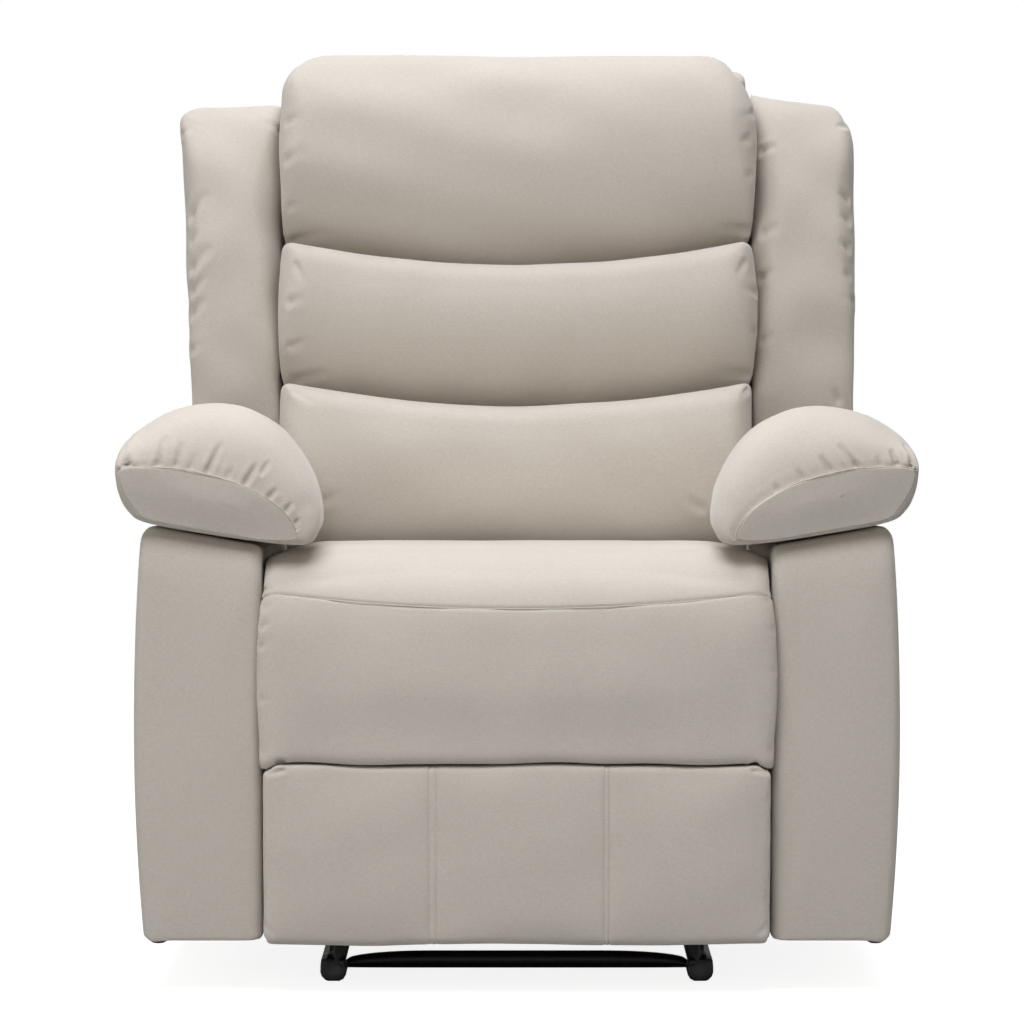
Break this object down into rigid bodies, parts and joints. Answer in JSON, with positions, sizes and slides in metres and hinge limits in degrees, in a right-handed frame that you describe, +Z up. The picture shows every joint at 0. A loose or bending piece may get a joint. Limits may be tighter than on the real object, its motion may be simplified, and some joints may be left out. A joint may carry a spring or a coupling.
{
  "type": "reclining sofa",
  "caption": "Reclining armchair sofa with pillow arms, a winged channelled back, a padded seat and a fold-out footrest on a folding steel mechanism.",
  "frame": {"origin": "on the floor, under the middle of the sofa's bounding box", "axes": "+Z up, -Y the way the sitter faces (front), +X to the right as seen from the front"},
  "size_m": [0.894, 0.9132, 1.0767],
  "materials": {
    "fabric": "matt woven greige fabric over foam",
    "timber": "raw plywood and softwood",
    "steel": "black powder coat, satin",
    "plastic": "black moulded plastic"
  },
  "bodies": {
    "base": {"floor_rail_right": "steel", "floor_rail_left": "steel", "glide_front_right": "plastic", "glide_front_left": "plastic", "glide_rear_right": "plastic", "glide_rear_left": "plastic", "cross_tube_front": "steel", "cross_tube_rear": "steel", "base_plate_right": "steel", "base_plate_left": "steel"},
    "swing_front": {"swing_link_front_right": "steel", "swing_link_front_left": "steel"},
    "chassis": {"seat_plate_right": "steel", "seat_plate_left": "steel", "seat_side_rail_right": "timber", "seat_side_rail_left": "timber", "seat_front_rail": "timber", "seat_rear_rail": "timber", "seat_spring_1": "steel", "seat_spring_2": "steel", "seat_spring_3": "steel", "seat_spring_4": "steel", "seat_cushion": "fabric", "arm_frame_right": "timber", "arm_frame_left": "timber", "arm_cover_right": "fabric", "arm_cover_left": "fabric", "arm_pad_right": "fabric", "arm_pad_left": "fabric", "rear_rail": "fabric"},
    "swing_rear": {"swing_link_rear_right": "steel", "swing_link_rear_left": "steel"},
    "back_drive": {"back_drive_link_right": "steel", "back_drive_link_left": "steel"},
    "back": {"back_bracket_right": "steel", "back_bracket_left": "steel", "back_panel": "timber", "back_shell": "fabric", "lumbar_cushion": "fabric", "shoulder_cushion": "fabric", "head_cushion": "fabric", "wing_right": "fabric", "wing_left": "fabric"},
    "foot_drive": {"foot_drive_link_right": "steel", "foot_drive_link_left": "steel", "torque_tube": "steel"},
    "foot_long": {"foot_long_link_right": "steel", "foot_long_link_left": "steel"},
    "foot_guide": {"foot_guide_link_right": "steel", "foot_guide_link_left": "steel"},
    "foot_tie": {"foot_tie_link_right": "steel", "foot_tie_link_left": "steel"},
    "footrest": {"foot_bracket_right": "steel", "foot_bracket_left": "steel", "foot_board": "timber", "foot_pad": "fabric"},
    "release": {"release_tab": "plastic", "release_rod": "steel"}
  },
  "joints": [
    {"name": "recline", "type": "hinge", "parent": "base", "child": "swing_front", "pos_m": [0, -0.215, 0.118], "axis": [1, 0, 0], "range_deg": [0, 44]},
    {"name": "seat_stays_level", "type": "hinge", "parent": "swing_front", "child": "chassis", "pos_m": [0, -0.17379, 0.21999], "axis": [-1, 0, 0], "range_deg": [0, 44]},
    {"name": "rear_swing", "type": "hinge", "parent": "base", "child": "swing_rear", "pos_m": [0, 0.085, 0.118], "axis": [1, 0, 0], "range_deg": [0, 44]},
    {"name": "back_recline", "type": "hinge", "parent": "chassis", "child": "back", "pos_m": [0, 0.16, 0.33], "axis": [-1, 0, 0], "range_deg": [0, 40]},
    {"name": "back_drive_swing", "type": "hinge", "parent": "base", "child": "back_drive", "pos_m": [0, 0.136, 0.084], "axis": [1, 0, 0], "range_deg": [0, 31.2]},
    {"name": "footrest_open", "type": "hinge", "parent": "chassis", "child": "foot_drive", "pos_m": [0, -0.12, 0.29], "axis": [-1, 0, 0], "range_deg": [0, 110]},
    {"name": "long_link_turn", "type": "hinge", "parent": "foot_drive", "child": "foot_long", "pos_m": [0, 0.09191, 0.17733], "axis": [1, 0, 0], "range_deg": [0, 84.5]},
    {"name": "footrest_turn", "type": "hinge", "parent": "foot_long", "child": "footrest", "pos_m": [0, -0.374, 0.165], "axis": [-1, 0, 0], "range_deg": [0, 66.5]},
    {"name": "guide_link_turn", "type": "hinge", "parent": "chassis", "child": "foot_guide", "pos_m": [0, -0.158, 0.3148], "axis": [-1, 0, 0], "range_deg": [0, 115.2]},
    {"name": "tie_link_turn", "type": "hinge", "parent": "foot_drive", "child": "foot_tie", "pos_m": [0, 0.10191, 0.20833], "axis": [1, 0, 0], "range_deg": [0, 85.7]},
    {"name": "release_pull", "type": "slide", "parent": "chassis", "child": "release", "axis": [0, 0, 1], "range_m": [0, 0.02], "stiffness_N_per_m": 400, "springref_m": -0.005}
  ],
  "couplings": [
    {"joint": "seat_stays_level", "follows": "recline", "ratio": 1},
    {"joint": "rear_swing", "follows": "recline", "ratio": 1},
    {"joint": "back_recline", "follows": "recline", "ratio": 0.90909},
    {"joint": "back_drive_swing", "follows": "recline", "ratio": 0.70909},
    {"joint": "long_link_turn", "follows": "footrest_open", "ratio": 0.76818},
    {"joint": "footrest_turn", "follows": "footrest_open", "ratio": 0.60454},
    {"joint": "guide_link_turn", "follows": "footrest_open", "ratio": 1.0473},
    {"joint": "tie_link_turn", "follows": "footrest_open", "ratio": 0.77909}
  ]
}
